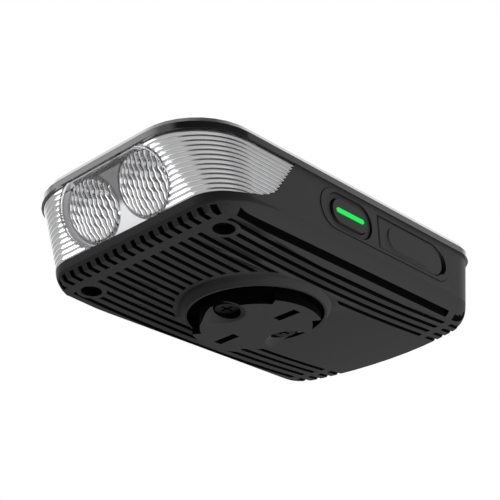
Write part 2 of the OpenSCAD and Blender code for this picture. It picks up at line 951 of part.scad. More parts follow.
module led_left() led(-optic_pitch / 2);

module led_right() led(optic_pitch / 2);

module lamp_board() color("#e8e8e4") {
    block(
        [-bracket_w / 2, -lamp_reach, bracket_pad_z + 2 * bracket_foot_t],
        [bracket_w / 2, -lamp_reach + lamp_board_t, lamp_top_z]
    );
}

module heat_bracket() color("#a9adb1") {
    difference() {
        union() {
            block(
                [-bracket_w / 2, bracket_y, bracket_pad_z],
                [bracket_w / 2, bracket_y + bracket_t, lamp_top_z]
            );
            block(
                [-bracket_w / 2, bracket_y, bracket_pad_z],
                [bracket_w / 2, bracket_y + bracket_t + bracket_foot, bracket_pad_z + bracket_foot_t]
            );
        }
        block(
            [-flex_slot / 2, bracket_y - past, bracket_pad_z - past],
            [flex_slot / 2, bracket_y + bracket_t + bracket_foot + past, bracket_pad_z + 2 * bracket_foot_t]
        );
    }
}

// Flat flexible lead from the lamp board, under the bracket, to the driver board
module lamp_flex() color("#b5651d") {
    front = -lamp_reach - flex_t;
    path = [
        [front, lens_mid_z], [front, board_top + 2 * flex_t],
        [driver_y[0] - 2, board_top + flex_t / 4], [driver_y[0] + 4, board_top + flex_t / 4]
    ];
    thick = [[flex_t * 0.9, 0], [flex_t * 0.9, flex_t], [0, flex_t], [0, flex_t]];
    across(flex_w)
        polygon(concat(path, [for (i = [3 : -1 : 0]) path[i] + thick[i]]));
}

module driver_board() color("#1f6b3a") {
    block([driver_x[0], driver_y[0], driver_z], [driver_x[1], driver_y[1], board_top]);
}

module driver_chip() color("#141414") {
    translate(chip_at) block([0, 0, board_top], [chip_side, chip_side, board_top + chip_h]);
}

module driver_inductor() color("#3c3c40") {
    translate(inductor_at)
        block([0, 0, board_top], [inductor_side, inductor_side, tray_z - 2 * fit_gap]);
}

module control_board() color("#1f6b3a") {
    block([control_x, strip_front - pad_margin, board_top], [board_face, strip_rear, cover_z - 1]);
}

module board_header() color("#101010") {
    translate([control_x - header_w, hinge_y - header_lead, board_top])
        cube([header_w, header_l, tray_z - 4 * fit_gap - board_top]);
}

module tact_switch() color("#202024") {
    difference() {
        block(
            [board_face, -switch_side / 2, strip_z - switch_side / 2],
            [switch_front, switch_side / 2, strip_z + switch_side / 2]
        );
        translate([stem_bore_back, 0, strip_z]) rotate([0, 90, 0]) cylinder(r = stem_r + stem_gap, h = far);
    }
}

module switch_stem() color("#6d6d70") {
    translate([stem_back, 0, strip_z]) rotate([0, 90, 0]) cylinder(r = stem_r, h = flange_back - stem_back);
}

module status_leds() color("#c9f2d0") {
    for (s = [-1, 1]) {
        translate([
            board_face + status_led[0] / 2,
            s * (switch_side / 2 + status_gap + status_led[1] / 2),
            strip_z
        ])
            cube(status_led, center = true);
    }
}

module usb_socket() color("#c4c7ca") {
    tongue_w = usb_w - usb_h + 1;
    difference() {
        side_slot(usb_y, strip_z, usb_w, usb_h, board_face, usb_mouth);
        side_slot(
            usb_y, strip_z, usb_w - 2 * usb_wall, usb_h - 2 * usb_wall,
            usb_back, usb_mouth + past
        );
    }
    block(
        [usb_back - past, usb_y - tongue_w / 2, strip_z - usb_wall],
        [usb_mouth - past, usb_y + tongue_w / 2, strip_z + usb_wall]
    );
}

// Plate with a square front end and a round rear end, on the +X side
module flap_shape(front, rear, height, from_x, to_x) {
    side_slot((front + rear) / 2, strip_z, rear - front, height, from_x, to_x);
    block([from_x, front, strip_z - height / 2], [to_x, rear - height, strip_z + height / 2]);
}

module control_strip() color("#242426") {
    length = strip_rear - strip_front - 2 * fit_gap;
    flap_room_h = flap_h + 2 * moving_gap;
    difference() {
        side_slot(
            (strip_front + strip_rear) / 2, strip_z, length, strip_h - 2 * fit_gap,
            pocket_x, half_w + strip_proud
        );
        side_slot(
            0, strip_z, button_l + 2 * moving_gap, button_h + 2 * moving_gap,
            pocket_x - past, half_w + past
        );
        side_slot(
            0, strip_z, button_l + 2 * dish_rim + 2 * moving_gap, button_h + 2 * dish_rim,
            half_w + strip_proud - dish_depth, half_w + past
        );
        flap_shape(
            hinge_y - hinge_room, flap_rear + moving_gap, flap_room_h,
            pocket_x - past, half_w + past
        );
        // Notch for a finger nail behind the flap
        side_slot(flap_rear - nail_h + 1.6, strip_z, 2 * nail_h, nail_h, pocket_x + 0.6, half_w + past);
    }
}

module power_button() color("#1d1d1f") {
    difference() {
        union() {
            side_slot(0, strip_z, button_l, button_h, flange_back, button_face);
            side_slot(
                0, strip_z, button_l + 2 * flange_rim, button_h + 2 * flange_rim,
                flange_back, flange_back + flange_t
            );
        }
        side_slot(0, strip_z, bar_l + fit_gap, bar_h + fit_gap, flange_back - past, button_face + past);
    }
}

module button_light_bar() color("#2df06a") {
    side_slot(0, strip_z, bar_l, bar_h, flange_back, button_face + fit_gap);
}

module port_flap() color("#262628") {
    outer_x = hinge_x + bead_r;
    pad_l = 17;
    flap_shape(hinge_y, flap_rear, flap_h, hinge_x - bead_r, outer_x);
    translate([hinge_x, hinge_y, strip_z - flap_h / 2]) cylinder(r = bead_r, h = flap_h);
    side_slot(usb_y - 1, strip_z, pad_l, flap_h - 2, outer_x - bead_r, outer_x + flap_pad_t);
    side_slot(
        usb_y, strip_z, usb_w - moving_gap, usb_h - moving_gap,
        hinge_x - bead_r - plug_depth, hinge_x
    );
}

module battery_tray() color("#4a4d52") {
    low = [cell_x - fit_gap - tray_t, cell_y - fit_gap - tray_t, tray_z];
    high = [
        cell_x + cell_w + fit_gap + tray_t, cell_y + cell_l + fit_gap + tray_t,
        tray_z + tray_t + tray_wall_h
    ];
    difference() {
        block(low, high);
        block(low + [tray_t, tray_t, tray_t], high + [-tray_t, -tray_t, past]);
    }
    for (x = [low[0] + 3, high[0] - 3], y = [low[1] + 3, high[1] - 3]) {
        translate([x, y, board_top]) cylinder(r = 1.4, h = tray_z - board_top);
    }
}

module battery_cell(z) color("#8d9299") {
    block([cell_x, cell_y, z], [cell_x + cell_w, cell_y + cell_l, z + cell_t]);
}

module battery_cell_lower() battery_cell(cell_z - fit_gap);

module battery_cell_upper() battery_cell(upper_cell_z - fit_gap);

module battery_board() color("#1f6b3a") {
    face = cell_y - fit_gap - tray_t;
    block(
        [cell_x + battery_board_ends[0], face - board_t, tray_z],
        [cell_x + cell_w - battery_board_ends[1], face, tray_z + tray_wall_h + battery_board_rise]
    );
}

module battery_pad() color("#303236") {
    block(
        [cell_x + cell_end, cell_y + cell_end, battery_pad_z - 2 * fit_gap],
        [cell_x + cell_w - cell_end, cell_y + cell_l - cell_end, ceiling_z]
    );
}

// Quarter-turn insert: a round body with two ears, held by two sunk screws
module mount_disc() color("#38383a") {
    ear_half = ear_span / 2;
    scoop_r = 9.6;
    scoop_y = insert_r - 1.2;
    scoop_drop = 7.5;
    slot_l = 6.4;
    slot_w = 2.2;
    slot_depth = 1.9;
    difference() {
        union() {
            cylinder(r = insert_r, h = mount_seat_z);
            intersection() {
                cylinder(r = ear_r, h = ear_t);
                for (a = [0, 180]) {
                    rotate(a) translate([0, 0, -past])
                        linear_extrude(ear_t + 2 * past)
                        polygon([
                            [0, 0], [2 * ear_r * cos(ear_half), -2 * ear_r * sin(ear_half)],
                            [2 * ear_r * cos(ear_half), 2 * ear_r * sin(ear_half)]
                        ]);
                }
            }
        }
        for (s = [-1, 1]) {
            translate([0, s * scoop_y, -scoop_drop]) sphere(scoop_r);
            translate([s * (mount_screw_r - 0.2), 0, 0])
                block([-slot_l / 2, -slot_w / 2, -past], [slot_l / 2, slot_w / 2, slot_depth]);
        }
        at_mount_screws() {
            translate([0, 0, -past]) cylinder(d = mount_head_d + 8 * fit_gap, h = mount_head_z + past);
            cylinder(d = mount_shank_d + 4 * fit_gap, h = far);
        }
    }
}

module mount_screws() color("#1c1c1e") {
    at_mount_screws() difference() {
        union() {
            translate([0, 0, mount_head_z - mount_head_h]) cylinder(d = mount_head_d, h = mount_head_h);
            translate([0, 0, mount_head_z - past / 2])
                cylinder(d = mount_shank_d, h = mount_seat_z + threaded_insert_l - mount_head_z);
        }
        translate([0, 0, mount_head_z - mount_head_h]) cross_recess(mount_head_d * 0.62);
    }
}

module mount_inserts() color("#b8903c") {
    at_mount_screws() translate([0, 0, mount_seat_z]) difference() {
        cylinder(r = threaded_insert_r, h = threaded_insert_l);
        translate([0, 0, -past]) cylinder(d = mount_shank_d + fit_gap, h = threaded_insert_l + 2 * past);
    }
}

module housing_screws() color("#1c1c1e") {
    at_housing_screws() difference() {
        union() {
            translate([0, 0, screw_seat_z - screw_head_h]) cylinder(d = screw_head_d, h = screw_head_h);
            translate([0, 0, screw_seat_z - past / 2])
                cylinder(d = screw_shank_d, h = screw_tip_z - screw_seat_z);
        }
        translate([0, 0, screw_seat_z - screw_head_h]) cross_recess(screw_head_d * 0.62);
    }
}

top_cover();
main_housing();
bottom_cover();
cover_seal();
front_lens();
lens_bezel();
optic_left();
optic_right();
led_left();
led_right();
lamp_board();
heat_bracket();
lamp_flex();
driver_board();
driver_chip();
driver_inductor();
control_board();
board_header();
tact_switch();
switch_stem();
status_leds();
usb_socket();
control_strip();
power_button();
button_light_bar();
port_flap();
battery_tray();
battery_cell_lower();
battery_cell_upper();
battery_board();
battery_pad();
mount_disc();
mount_screws();
mount_inserts();
housing_screws();
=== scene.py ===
import math

import bmesh
import bpy
from mathutils import Matrix, Vector


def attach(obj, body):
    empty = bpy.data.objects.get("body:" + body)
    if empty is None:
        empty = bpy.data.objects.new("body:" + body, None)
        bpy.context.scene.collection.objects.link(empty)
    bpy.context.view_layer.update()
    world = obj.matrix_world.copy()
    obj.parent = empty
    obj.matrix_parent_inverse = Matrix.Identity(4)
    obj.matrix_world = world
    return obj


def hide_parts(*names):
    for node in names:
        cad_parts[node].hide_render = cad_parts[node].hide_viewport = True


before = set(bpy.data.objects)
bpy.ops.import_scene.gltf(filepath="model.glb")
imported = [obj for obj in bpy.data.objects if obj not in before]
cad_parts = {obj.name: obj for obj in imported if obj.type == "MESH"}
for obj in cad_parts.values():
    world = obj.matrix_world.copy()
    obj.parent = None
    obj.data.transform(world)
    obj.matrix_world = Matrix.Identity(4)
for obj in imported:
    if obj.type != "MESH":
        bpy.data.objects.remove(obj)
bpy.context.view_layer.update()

# Camera: seen from below and in front, turned to the control side, with a long lens.
# The view was fitted to the photograph from the corners of the body and the insert.
MM = 0.001
PICTURE_PX, SENSOR_MM = 500, 36
azimuth, elevation, roll = math.radians(42.415), math.radians(-26.888), math.radians(-1.812)
focal_px, distance, origin_px = 1296.7, 302.9 * MM, (256.2, 327.35)
backward = Vector((
    math.sin(azimuth) * math.cos(elevation),
    -math.cos(azimuth) * math.cos(elevation),
    math.sin(elevation),
))
level = backward.cross(Vector((0, 0, -1))).normalized()
right = Matrix.Rotation(roll, 3, backward) @ level
upward = backward.cross(right)
camera_data = bpy.data.cameras.new("camera")
camera_data.sensor_width = SENSOR_MM
camera_data.lens = SENSOR_MM * focal_px / PICTURE_PX
camera_data.clip_start = 0.01
camera = bpy.data.objects.new("camera", camera_data)
bpy.context.scene.collection.objects.link(camera)
camera.matrix_world = Matrix.Translation(
    backward * distance
    - right * ((origin_px[0] - PICTURE_PX / 2) / focal_px * distance)
    + upward * ((origin_px[1] - PICTURE_PX / 2) / focal_px * distance)
) @ Matrix((right, upward, backward)).transposed().to_4x4()
bpy.context.scene.camera = camera
bpy.context.scene.view_settings.view_transform = "Standard"


# Main housing: glass-filled nylon with a fine matt texture, side and rear walls in one piece.
# The bottom cover's screws and two hooks hold it, and it carries the lens and the controls.
def ramp(tree, value, low, high, start=0.0, end=1.0, kind="SMOOTHSTEP"):
    """Takes a shader value from its low and high limits to a start and an end."""
    spread = tree.nodes.new("ShaderNodeMapRange")
    spread.interpolation_type = kind
    spread.inputs["From Min"].default_value = low
    spread.inputs["From Max"].default_value = high
    spread.inputs["To Min"].default_value = start
    spread.inputs["To Max"].default_value = end
    tree.links.new(value, spread.inputs["Value"])
    return spread.outputs["Result"]


def finish(name, colour, roughness, metallic=0.0, grain=0.0, grain_size=0.25, coat=0.0, gloss=0.5):
    """A plain surface with a fine grain in its roughness, and in its height by grain, in mm."""
    material = bpy.data.materials.new(name)
    material.use_nodes = True
    tree = material.node_tree
    shader = tree.nodes["Principled BSDF"]
    shader.inputs["Base Color"].default_value = (*colour, 1)
    shader.inputs["Metallic"].default_value = metallic
    shader.inputs["Specular IOR Level"].default_value = gloss
    shader.inputs["Coat Weight"].default_value = coat
    shader.inputs["Coat Roughness"].default_value = 0.05
    place = tree.nodes.new("ShaderNodeTexCoord")
    noise = tree.nodes.new("ShaderNodeTexNoise")
    noise.inputs["Scale"].default_value = 1 / (grain_size * MM)
    noise.inputs["Detail"].default_value = 2
    tree.links.new(place.outputs["Object"], noise.inputs["Vector"])
    smoothest, roughest = roughness * 0.9, min(1.0, roughness * 1.1)
    uneven = ramp(tree, noise.outputs["Fac"], 0, 1, smoothest, roughest, "LINEAR")
    tree.links.new(uneven, shader.inputs["Roughness"])
    if grain:
        bump = tree.nodes.new("ShaderNodeBump")
        bump.inputs["Strength"].default_value = 0.5
        bump.inputs["Distance"].default_value = grain * MM
        tree.links.new(noise.outputs["Fac"], bump.inputs["Height"])
        tree.links.new(bump.outputs["Normal"], shader.inputs["Normal"])
    return material


def smooth_mesh(work, name, sharp):
    """Ends the work on a mesh: smooth faces, with edges above the sharp angle left sharp."""
    mesh = bpy.data.meshes.new(name)
    work.to_mesh(mesh)
    work.free()
    for polygon in mesh.polygons:
        polygon.use_smooth = True
    mesh.set_sharp_from_angle(angle=math.radians(sharp))
    return mesh


def place_piece(mesh, name, body, node, slot, *materials):
    """Puts a finished mesh in the scene, riding on its body in place of the CAD node."""
    piece = bpy.data.objects.new(name, mesh)
    bpy.context.scene.collection.objects.link(piece)
    for material in materials:
        mesh.materials.append(material)
    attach(piece, body)
    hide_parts(node)
    return piece


def rounded_copy(node, name, body, slot, *materials, edge=0.0, painted_shade_edge=False, sharp=32):
    """A merged copy of a CAD node, its sharp edges rounded by edge; when asked, the rounds take the second
    finish, a painted shade along the edges.
    """
    work = bmesh.new()
    work.from_mesh(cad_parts[node].data)
    bmesh.ops.remove_doubles(work, verts=work.verts, dist=0.002 * MM)
    bmesh.ops.dissolve_limit(
        work, angle_limit=math.radians(0.5), verts=work.verts, edges=work.edges, delimit={"NORMAL"}
    )
    bmesh.ops.recalc_face_normals(work, faces=work.faces)
    piece = place_piece(smooth_mesh(work, name, sharp), name, body, node, slot, *materials)
    if edge:
        bevel = piece.modifiers.new("edge", "BEVEL")
        bevel.width = edge * MM
        bevel.segments = 2
        bevel.limit_method = "ANGLE"
        bevel.angle_limit = math.radians(sharp)
        bevel.harden_normals = True
        bevel.material = 1 if painted_shade_edge else -1
        bevel.use_clamp_overlap = True
    normals = piece.modifiers.new("normals", "WEIGHTED_NORMAL")
    normals.keep_sharp = True
    normals.weight = 100
    return piece


# The chin, low at the front, takes a darker copy of the nylon finish: painted shade, as it faces away from
# the light.
CHIN_REAR_Y, CHIN_TOP_Z = -20, 10.6
housing_black = finish("housing_black", (0.016, 0.016, 0.0165), 0.55, grain=0.012, gloss=0.35)
chin_painted_shade = finish("chin_painted_shade", (0.012, 0.012, 0.0125), 0.5, grain=0.012, gloss=0.2)
housing = rounded_copy("main_housing", "housing", "lamp", "housing_black", housing_black, chin_painted_shade)
for polygon in housing.data.polygons:
    if polygon.center.y < CHIN_REAR_Y * MM and polygon.center.z < CHIN_TOP_Z * MM:
        polygon.material_index = 1

# Bottom cover: die-cast aluminium, black matt coating, with rows of cooling grooves.
# Two screws at the front, driven into posts of the top cover, and two hooks at the rear hold it.
# The grooves, the screw holes and the inside of the collar are painted near-black as painted shade, for the
# shadow deep in them.
HALF_W, CHIN_REACH, CHIN_R, BILGE_R, CREASE_Z = 29.6, 41.2, 9.4, 6.7, 11.0
ROCKER_R, ROCKER_Y, UNDERSIDE_Z = 550.0, 8.0, 4.6
GROOVE_PITCH, GROOVE_W, GROOVE_TOP, LAND_R = 2.9, 1.3, 10.3, 19
COLLAR_R, COLLAR_Z, SEAT_Z = 16.2, 3.0, 5.6
SCREW_X, SCREW_Y, SCREW_HOLE_R = 21.2, -32.4, 2.45
PAINT_SIDE_GAP, PAINT_LEVEL_GAP, PAINT_DEPTH = 0.02, 0.05, 0.08


def depth_inside(x, y, z):
    """How deep a point lies below the underside's floor, sides and front, in mm; it has no rear."""
    rocker = z - UNDERSIDE_Z - (y - ROCKER_Y) ** 2 / (2 * ROCKER_R)
    beside, ahead = abs(x) - HALF_W + CHIN_R, -y - CHIN_REACH + CHIN_R
    inset = CHIN_R - math.hypot(max(0, beside), max(0, ahead)) - min(0, max(beside, ahead))
    bilge = BILGE_R - math.hypot(max(0, BILGE_R - inset), CREASE_Z - z)
    return min(rocker, bilge)


cast_black = finish("cast_black", (0.024, 0.024, 0.025), 0.6, grain=0.012, gloss=0.07)
# Near-black painted shade, also used on the insert's walls and floors and in the gaps round the control
# strip.
painted_shade_black = finish("painted_shade_black", (0.0012, 0.0012, 0.0012), 0.8, gloss=0.03)
underside = rounded_copy("bottom_cover", "underside", "lamp", "cast_black", cast_black, painted_shade_black)
for polygon in underside.data.polygons:
    x, y, z = polygon.center / MM
    off_line = abs((x / GROOVE_PITCH) % 1 - 0.5) * GROOVE_PITCH
    off_mount = math.hypot(x, y)
    off_screw = math.hypot(abs(x) - SCREW_X, y - SCREW_Y)
    in_groove = off_line < GROOVE_W / 2 + PAINT_SIDE_GAP and z < GROOVE_TOP and off_mount > LAND_R
    in_hole = off_screw < SCREW_HOLE_R + PAINT_SIDE_GAP
    above_rim = COLLAR_Z + PAINT_LEVEL_GAP < z < SEAT_Z + PAINT_LEVEL_GAP
    in_collar = off_mount < COLLAR_R + PAINT_SIDE_GAP and above_rim
    if in_collar or (in_groove or in_hole) and depth_inside(x, y, z) > PAINT_DEPTH:
        polygon.material_index = 1

# Quarter-turn insert: glass-filled nylon disc with two ears, two scoops and two slots.
# Two short screws go through it into brass inserts in the bottom cover.
# Its upright walls and sunken floors are painted near-black as painted shade, for the shadow that lies on
# them.
UPRIGHT_MOST, LEVEL_LEAST, SUNKEN_Z = 0.05, 0.98, 0.3
insert_black = finish("insert_black", (0.024, 0.024, 0.025), 0.55, grain=0.01, gloss=0.08)
insert = rounded_copy("mount_disc", "insert", "lamp", "insert_black", insert_black, painted_shade_black, edge=0.18)
for polygon in insert.data.polygons:
    upright = abs(polygon.normal.z) < UPRIGHT_MOST
    sunken = polygon.normal.z < -LEVEL_LEAST and polygon.center.z > SUNKEN_Z * MM
    if upright or sunken:
        polygon.material_index = 1

# Screws: black steel with cross recesses. Two short ones hold the insert,
# and two long ones go up through the bottom cover into the posts of the top cover.
screw_black = finish("screw_black", (0.003, 0.003, 0.0033), 0.4, gloss=0.1)
rounded_copy("mount_screws", "insert_screws", "lamp", "screw_black", screw_black)
rounded_copy("housing_screws", "cover_screws", "lamp", "screw_black", screw_black)


# Reflector bezel: thin moulded plastic behind the lens, metallised, open where the optics stand.
# It is left dark between the optics, above the middle of the lens.
def combine(tree, operation, first, second):
    """Joins two shader values by the given operation."""
    node = tree.nodes.new("ShaderNodeMath")
    node.operation = operation
    tree.links.new(first, node.inputs[0])
    tree.links.new(second, node.inputs[1])
    return node.outputs["Value"]


def tint(material, share, plain, other):
    """Takes a finish from its plain colour to another one by a share."""
    tree = material.node_tree
    mix = tree.nodes.new("ShaderNodeMix")
    mix.data_type = "RGBA"
    mix.inputs["A"].default_value = (*plain, 1)
    mix.inputs["B"].default_value = (*other, 1)
    tree.links.new(share, mix.inputs["Factor"])
    tree.links.new(mix.outputs["Result"], tree.nodes["Principled BSDF"].inputs["Base Color"])


MASK_X, MASK_FULL_X, MASK_Z, MASK_FULL_Z = 8.5, 7.0, 16.0, 18.0
SILVER, MASK_GREY = (0.80, 0.80, 0.82), (0.06, 0.06, 0.06)
bezel_silver = finish("bezel_silver", SILVER, 0.35, metallic=0.2)
tree = bezel_silver.node_tree
axes = tree.nodes.new("ShaderNodeSeparateXYZ")
tree.links.new(tree.nodes["Texture Coordinate"].outputs["Object"], axes.inputs["Vector"])
sideways = tree.nodes.new("ShaderNodeMath")
sideways.operation = "ABSOLUTE"
tree.links.new(axes.outputs["X"], sideways.inputs[0])
between = ramp(tree, sideways.outputs["Value"], MASK_X * MM, MASK_FULL_X * MM)
above = ramp(tree, axes.outputs["Z"], MASK_Z * MM, MASK_FULL_Z * MM)
tint(bezel_silver, combine(tree, "MULTIPLY", between, above), SILVER, MASK_GREY)
rounded_copy("lens_bezel", "bezel", "lamp", "bezel_silver", bezel_silver)


# Front lens: clear polycarbonate, 2 mm thick, wrapped round the nose and raked back.
# Its sides carry fine level ribs, and a smooth window with a raised edge lies before the optics.
# It stands on the housing's chin, under the top cover.
LENS_FOOT, LENS_TOP, LENS_LOW, LENS_HIGH, LENS_T = 10.5, 24, 10.55, 23.95, 2.0
LENS_REACH, LENS_R = 48.5, 15.3
LENS_RISE, END_LOW, END_MID, END_TOP, END_STEPS = 4.1, -36.0, -24.8, -18.2, 39
OPTIC_X, WINDOW_R, WINDOW_WRAP = 8.4, 8.0, 0.6
LENS_RUN = LENS_TOP - LENS_FOOT
LENS_SLOPE = (LENS_REACH - CHIN_REACH) / LENS_RUN
LENS_RAKE = math.atan(LENS_SLOPE)
LENS_MID = Vector((0, -(LENS_REACH + CHIN_REACH) / 2, (LENS_FOOT + LENS_TOP) / 2))


def lens_end(z):
    """Where the lens ends along the side at a height: a short curve, then a slanted end."""
    knee = LENS_FOOT + LENS_RISE
    if z >= knee:
        return END_MID + (END_TOP - END_MID) * (z - knee) / (LENS_TOP - knee)
    bend_y, bend_z = (END_LOW + 2 * END_MID) / 3, LENS_FOOT + LENS_RISE / 4
    for i in range(END_STEPS + 1):
        t = i / END_STEPS
        if (1 - t) ** 2 * LENS_FOOT + 2 * t * (1 - t) * bend_z + t * t * knee >= z:
            break
    return (1 - t) ** 2 * END_LOW + 2 * t * (1 - t) * bend_y + t * t * END_MID


def lens_row(z, inset, count):
    """Evenly spaced points round the lens at a height, with their outward directions."""
    share = (z - LENS_FOOT) / LENS_RUN
    front = CHIN_REACH + (LENS_REACH - CHIN_REACH) * share
    r = CHIN_R + (LENS_R - CHIN_R) * share
    centre_y, centre_x, end = -front + r, HALF_W - r, lens_end(z)
    start = 0.0 if end >= centre_y else math.asin(min(1.0, (centre_y - end) / r))
    straight = max(0.0, end - centre_y)
    arc = r * (math.pi / 2 - start)
    half = straight + arc + centre_x
    points = []
    for i in range(count):
        s = half * (1 - 2 * i / (count - 1))
        side, s = (1 if s >= 0 else -1), half - abs(s)
        if s < straight:
            x, y, normal = HALF_W - inset, end - s, Vector((1, 0, 0))
        elif s < straight + arc:
            a = start + (s - straight) / r
            x, y = centre_x + (r - inset) * math.cos(a), centre_y - (r - inset) * math.sin(a)
            normal = Vector((math.cos(a), -math.sin(a), 0))
        else:
            x, y, normal = half - s, -front + inset, Vector((0, -1, 0))
        points.append((Vector((side * x, y, z)), Vector((side * normal.x, normal.y, 0))))
    return points


def window_distance(point):
    """How far a point of the lens lies outside the smooth window, in the plane of the lens face."""
    along = (point - LENS_MID).dot(Vector((0, -math.sin(LENS_RAKE), math.cos(LENS_RAKE))))
    across = max(0.0, abs(point.x) - OPTIC_X)
    behind_face = max(0.0, point.y - LENS_MID.y + (point.z - LENS_MID.z) * LENS_SLOPE)
    return math.hypot(across + behind_face * WINDOW_WRAP, along) - WINDOW_R


def step(low, high, value):
    """Smooth step from 0 to 1."""
    t = min(1.0, max(0.0, (value - low) / (high - low)))
    return t * t * (3 - 2 * t)


RIBS, RIB_HEIGHT, RIB_START, RIB_FULL = 13, 0.32, 0.3, 1.0
RIDGE_HEIGHT, RIDGE_W, POCKET_DEPTH, POCKET_EDGE = 0.25, 0.16, 1.6, 0.25
ROWS, COLUMNS = RIBS * 10, 300
HAIR = 0.01
work = bmesh.new()
ribbed = work.verts.layers.float.new("ribbed")
ridge = work.verts.layers.float.new("ridge")
for inset in (0.0, LENS_T):
    sheet = bmesh.ops.create_grid(work, x_segments=COLUMNS, y_segments=ROWS, size=1)["verts"]
    rows = [
        lens_row(LENS_LOW + (LENS_HIGH - LENS_LOW) * k / ROWS, inset, COLUMNS + 1)
        for k in range(ROWS + 1)
    ]
    for vert in sheet:
        k, i = round((vert.co.y + 1) / 2 * ROWS), round((vert.co.x + 1) / 2 * COLUMNS)
        point, normal = rows[k][i]
        vert.co = point * MM
        if inset:
            pocket = 1 - step(-POCKET_EDGE, 0.0, window_distance(point + normal * inset))
            vert.co += normal * POCKET_DEPTH * pocket * MM
        else:
            away = window_distance(point)
            vert[ribbed] = step(RIB_START, RIB_FULL, away)
            vert[ridge] = math.exp(-(away / RIDGE_W) ** 2)
            rib = abs(math.sin(math.pi * RIBS * k / ROWS))
            height = RIB_HEIGHT * (rib - 1) * vert[ribbed] + RIDGE_HEIGHT * vert[ridge]
            vert.co += normal * height * MM
bmesh.ops.bridge_loops(work, edges=[edge for edge in work.edges if edge.is_boundary])
bmesh.ops.recalc_face_normals(work, faces=work.faces)
# The faces along the top edge take a bright silver mirror finish, a painted highlight along the lens's rim.
for face in work.faces:
    if min(vert.co.z for vert in face.verts) > (LENS_HIGH - HAIR) * MM:
        face.material_index = 1

# The finish stands for clear plastic: a mirror that covers most of the ribs and little of the window.
WINDOW_COVER, RIB_COVER = 0.012, 0.85
LENS_WHITE, RIDGE_PAINTED_SHADE = (0.95, 0.95, 0.96), (0.10, 0.10, 0.11)
lens_clear = finish("lens_clear", LENS_WHITE, 0.05, metallic=1.0, grain_size=2.0)
tree = lens_clear.node_tree
share = {}
for name in ("ribbed", "ridge"):
    attribute = tree.nodes.new("ShaderNodeAttribute")
    attribute.attribute_name = name
    share[name] = attribute.outputs["Fac"]
rib_cover = ramp(tree, share["ribbed"], 0, 1, WINDOW_COVER, RIB_COVER, "LINEAR")
covered = combine(tree, "MAXIMUM", rib_cover, share["ridge"])
tree.links.new(covered, tree.nodes["Principled BSDF"].inputs["Alpha"])
# The raised window edge is tinted dark grey: painted shade for how the ridge bends the light.
tint(lens_clear, share["ridge"], LENS_WHITE, RIDGE_PAINTED_SHADE)
# Bright silver for the lens's top edge: a painted highlight.
lens_edge_highlight = finish("lens_edge_highlight", (0.85, 0.85, 0.87), 0.3, metallic=0.9)
place_piece(smooth_mesh(work, "lens", 60), "lens", "lamp", "front_lens", "clear", lens_clear, lens_edge_highlight)

# Optics: two moulded beam lenses with wavy upright flutes, on cones that reach the lamps.
# Their feet stand at the lamp board, and they look out through the bezel's two openings.
# The finish is a mirror too, with painted shade in the valleys between the flutes.
OPTIC_R, OPTIC_FRONT, OPTIC_RIM, CONE_R, FOOT_R, FOOT_Y = 7.65, 0.6, 3.2, 6.0, 3.4, -36.2
FLUTE_PITCH, FLUTE_H, OPTIC_DOME, OPTIC_TOP = 1.3, 0.5, 1.1, 24.9
EDGE_START, EDGE_DROP, EDGE_DRAW = 0.88, 0.5, 0.05
RINGS, SPOKES, WELD = 64, 240, 0.0005
VALLEY_START, VALLEY_FULL = 0.45, 0.95
OPTIC_WHITE, VALLEY_PAINTED_SHADE = (0.95, 0.95, 0.97), (0.05, 0.05, 0.055)
optic_clear = finish("optic_clear", OPTIC_WHITE, 0.07, metallic=0.8)
tree = optic_clear.node_tree
streak = tree.nodes.new("ShaderNodeAttribute")
streak.attribute_name = "valley"
valley_shade_share = ramp(tree, streak.outputs["Fac"], VALLEY_START, VALLEY_FULL)
tint(optic_clear, valley_shade_share, OPTIC_WHITE, VALLEY_PAINTED_SHADE)


def flute(u, v):
    """Height of the flutes from 0 in a valley to 1 on a crest, with a slow wave along them."""
    bend = 0.14 * math.sin(0.9 * v + 0.6 * u) + 0.10 * math.sin(2.6 * v - 1.3 * u)
    return abs(math.sin(math.pi * (u + bend) / FLUTE_PITCH))


